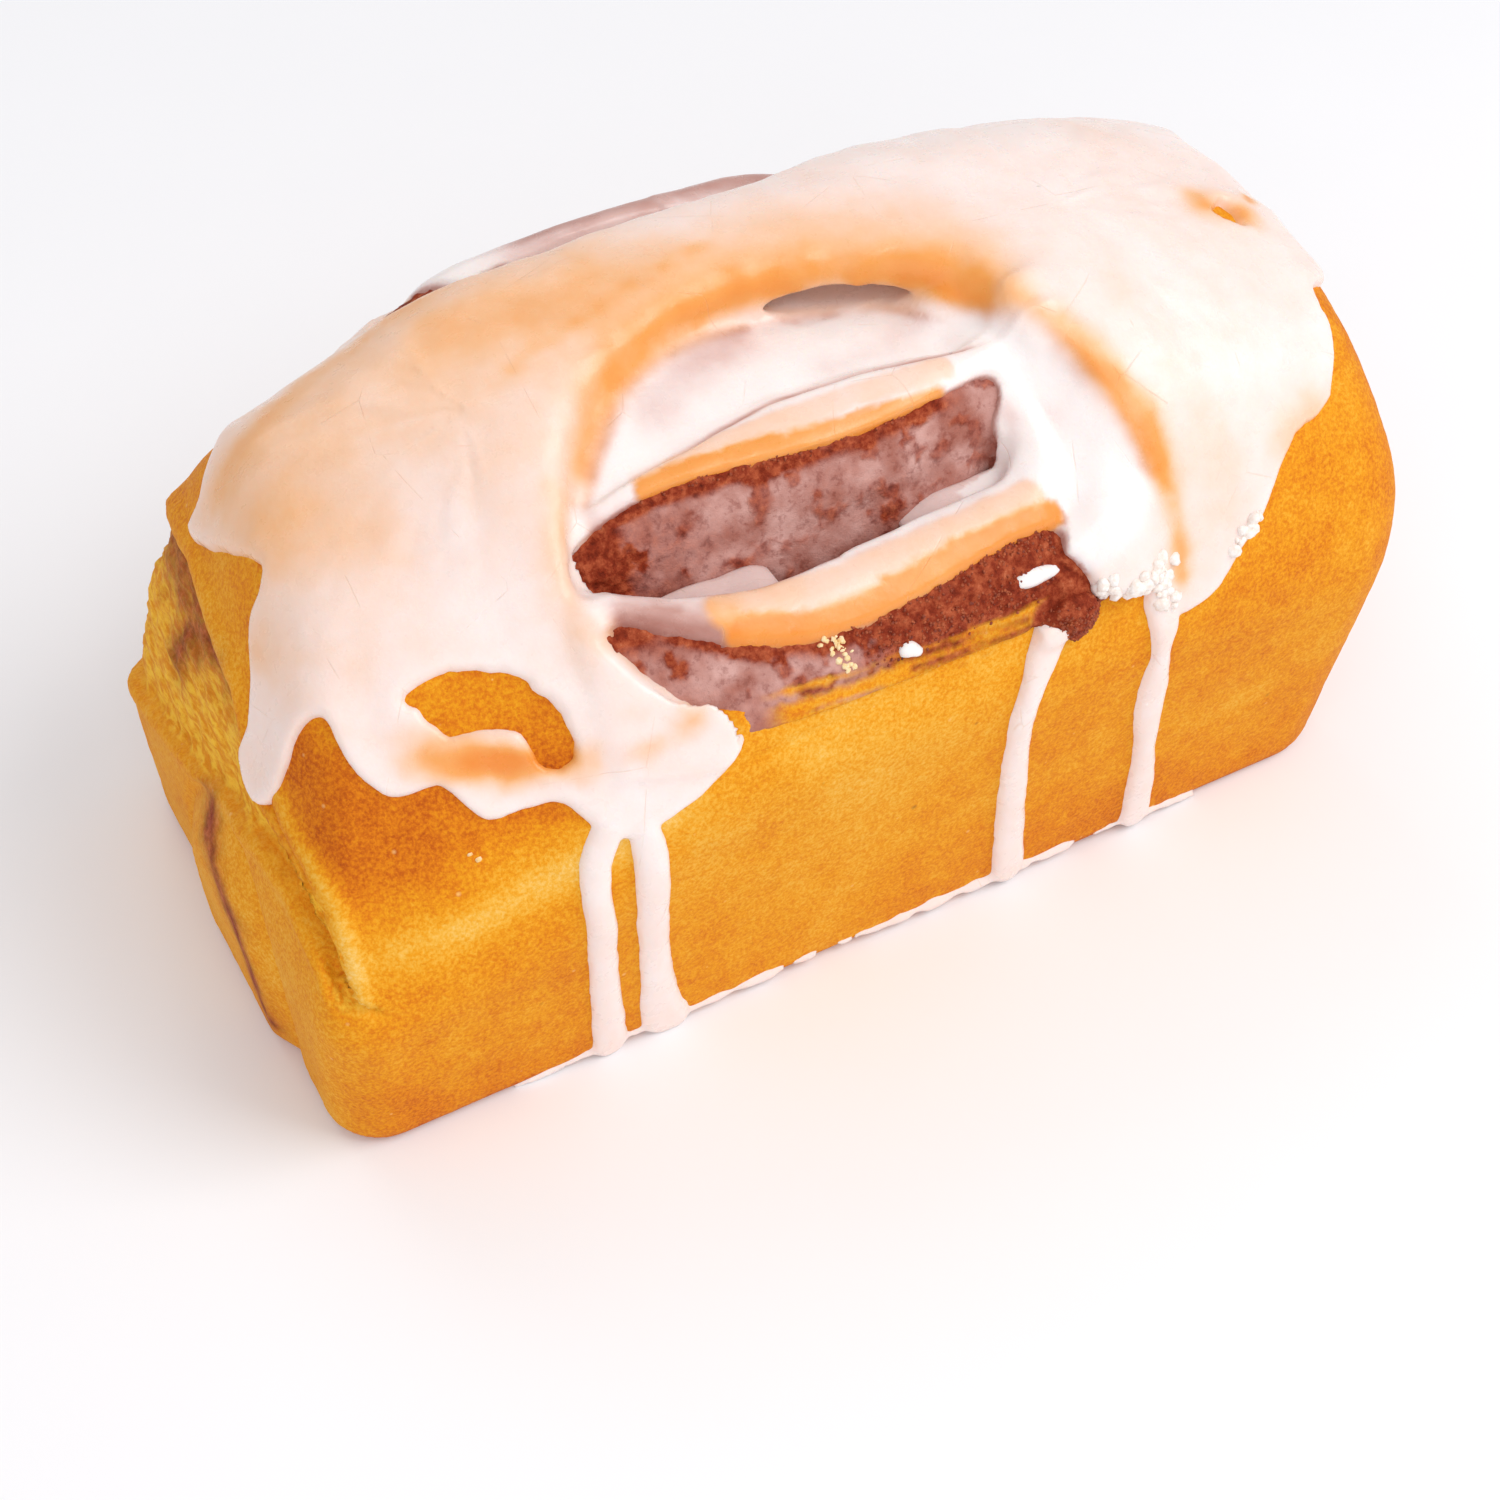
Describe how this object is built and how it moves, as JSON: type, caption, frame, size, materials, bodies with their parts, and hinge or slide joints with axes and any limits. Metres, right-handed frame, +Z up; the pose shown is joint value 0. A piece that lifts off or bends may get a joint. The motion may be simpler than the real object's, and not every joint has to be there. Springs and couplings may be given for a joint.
{
  "type": "cinnamon swirl loaf",
  "caption": "Tin-baked sweet loaf with openings in its crown that show rolled cinnamon dough, under a poured sugar glaze that runs down its walls.",
  "frame": {"origin": "middle of the flat base, on the surface the loaf rests on", "axes": "+X along the loaf's length, with the torn end at -X; -Y is the front wall; +Z up"},
  "size_m": [0.2168, 0.1162, 0.1136],
  "materials": {
    "baked_bread": "matt baked crust, golden at the walls and brown on the crown",
    "sugar_glaze": "satin set sugar glaze"
  },
  "bodies": {
    "root": {"loaf": "baked_bread", "icing_sheet": "sugar_glaze", "icing_on_inner_roll": "sugar_glaze", "icing_on_upper_roll": "sugar_glaze", "icing_on_lower_roll": "sugar_glaze", "icing_on_rear_roll": "sugar_glaze", "icing_run_front_far_left": "sugar_glaze", "icing_run_front_left": "sugar_glaze", "icing_run_front_middle": "sugar_glaze", "icing_run_front_right": "sugar_glaze", "icing_run_back_left": "sugar_glaze", "icing_run_back_right": "sugar_glaze", "icing_foot_front_left": "sugar_glaze", "icing_foot_front_right": "sugar_glaze"}
  },
  "joints": []
}
